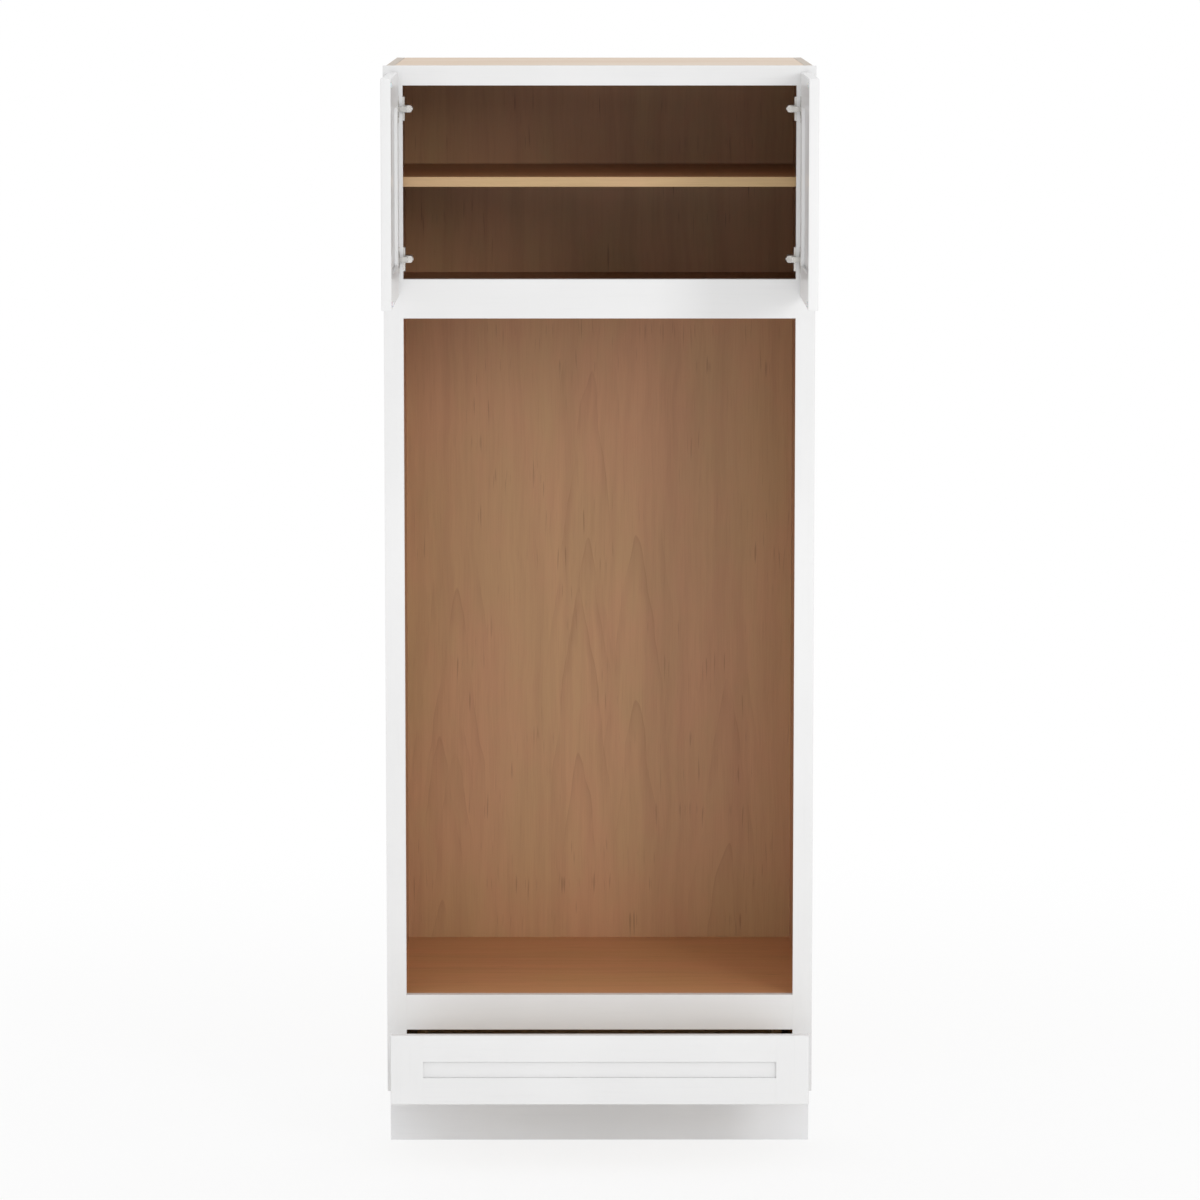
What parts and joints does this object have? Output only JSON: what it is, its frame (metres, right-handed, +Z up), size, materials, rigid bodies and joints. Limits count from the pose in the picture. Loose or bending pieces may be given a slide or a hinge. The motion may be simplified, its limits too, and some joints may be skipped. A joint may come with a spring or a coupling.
{
  "type": "double oven cabinet",
  "caption": "Tall white framed kitchen cabinet for a double wall oven, with doors over a shelf compartment, an open oven bay and a shallow drawer above the toe kick.",
  "frame": {"origin": "on the floor, under the middle of the stored pose's bounding box: the cabinet's centre line across, and halfway between the wall face and the free edges of the open doors", "axes": "+Z up, -Y to the front, +Y to the wall, +X to the right seen from the front"},
  "size_m": [0.8382, 1.0196, 2.1336],
  "materials": {
    "white_paint": "semi-gloss paint",
    "maple_board": "clear satin",
    "maple_veneer": "clear satin",
    "zinc_steel": "zinc plated",
    "nickel_steel": "nickel plated",
    "clear_bumper": "clear soft plastic"
  },
  "bodies": {
    "cabinet": {"side_panel_left": "white_paint", "side_panel_right": "white_paint", "toe_kick_skin": "white_paint", "stile_left": "white_paint", "stile_right": "white_paint", "top_rail": "white_paint", "upper_rail": "white_paint", "lower_rail": "white_paint", "bottom_rail": "white_paint", "top_panel": "maple_board", "upper_deck": "maple_board", "oven_deck": "maple_board", "bottom_panel": "maple_board", "toe_kick_board": "maple_board", "rear_base_rail": "maple_board", "oven_deck_cleats": "maple_board", "shelf": "maple_board", "shelf_edge_band": "maple_board", "slide_spacers": "maple_board", "back_panel": "maple_veneer", "shelf_pins": "zinc_steel", "slide_cabinet_left": "zinc_steel", "slide_cabinet_right": "zinc_steel", "plate_screws": "zinc_steel", "hinge_plates": "nickel_steel", "hinge_arms": "nickel_steel"},
    "left_door": {"door_hinge_stile_left": "white_paint", "door_free_stile_left": "white_paint", "door_top_rail_left": "white_paint", "door_bottom_rail_left": "white_paint", "door_panel_left": "white_paint", "hinge_cups_left": "nickel_steel", "hinge_fasteners_left": "zinc_steel", "door_bumpers_left": "clear_bumper"},
    "right_door": {"door_hinge_stile_right": "white_paint", "door_free_stile_right": "white_paint", "door_top_rail_right": "white_paint", "door_bottom_rail_right": "white_paint", "door_panel_right": "white_paint", "hinge_cups_right": "nickel_steel", "hinge_fasteners_right": "zinc_steel", "door_bumpers_right": "clear_bumper"},
    "drawer": {"drawer_front_stile_left": "white_paint", "drawer_front_stile_right": "white_paint", "drawer_front_top_rail": "white_paint", "drawer_front_bottom_rail": "white_paint", "drawer_front_panel": "white_paint", "drawer_box_front": "maple_board", "drawer_box_back": "maple_board", "drawer_box_side_left": "maple_board", "drawer_box_side_right": "maple_board", "drawer_bottom": "maple_veneer", "drawer_front_screws": "zinc_steel", "drawer_bumpers": "clear_bumper", "slide_drawer_left": "zinc_steel", "slide_drawer_right": "zinc_steel"},
    "slide_middles": {"slide_middle_left": "zinc_steel", "slide_middle_right": "zinc_steel"},
    "outer_ball_cages": {"outer_ball_cages": "zinc_steel"},
    "inner_ball_cages": {"inner_ball_cages": "zinc_steel"}
  },
  "joints": [
    {"name": "left_door_hinge", "type": "hinge", "parent": "cabinet", "child": "left_door", "pos_m": [-0.3985, -0.1129, 1.905], "axis": [0, 0, -1], "range_deg": [-90, 15]},
    {"name": "right_door_hinge", "type": "hinge", "parent": "cabinet", "child": "right_door", "pos_m": [0.3985, -0.1129, 1.905], "axis": [0, 0, 1], "range_deg": [-90, 15]},
    {"name": "drawer_slide", "type": "slide", "parent": "cabinet", "child": "drawer", "axis": [0, -1, 0], "range_m": [-0.155, 0.375]},
    {"name": "slide_middle", "type": "slide", "parent": "cabinet", "child": "slide_middles", "axis": [0, -1, 0], "range_m": [-0.0775, 0.1875]},
    {"name": "outer_cage", "type": "slide", "parent": "cabinet", "child": "outer_ball_cages", "axis": [0, -1, 0], "range_m": [-0.03875, 0.09375]},
    {"name": "inner_cage", "type": "slide", "parent": "cabinet", "child": "inner_ball_cages", "axis": [0, -1, 0], "range_m": [-0.11625, 0.28125]}
  ],
  "couplings": [
    {"joint": "slide_middle", "follows": "drawer_slide", "ratio": 0.5},
    {"joint": "outer_cage", "follows": "drawer_slide", "ratio": 0.25},
    {"joint": "inner_cage", "follows": "drawer_slide", "ratio": 0.75}
  ]
}
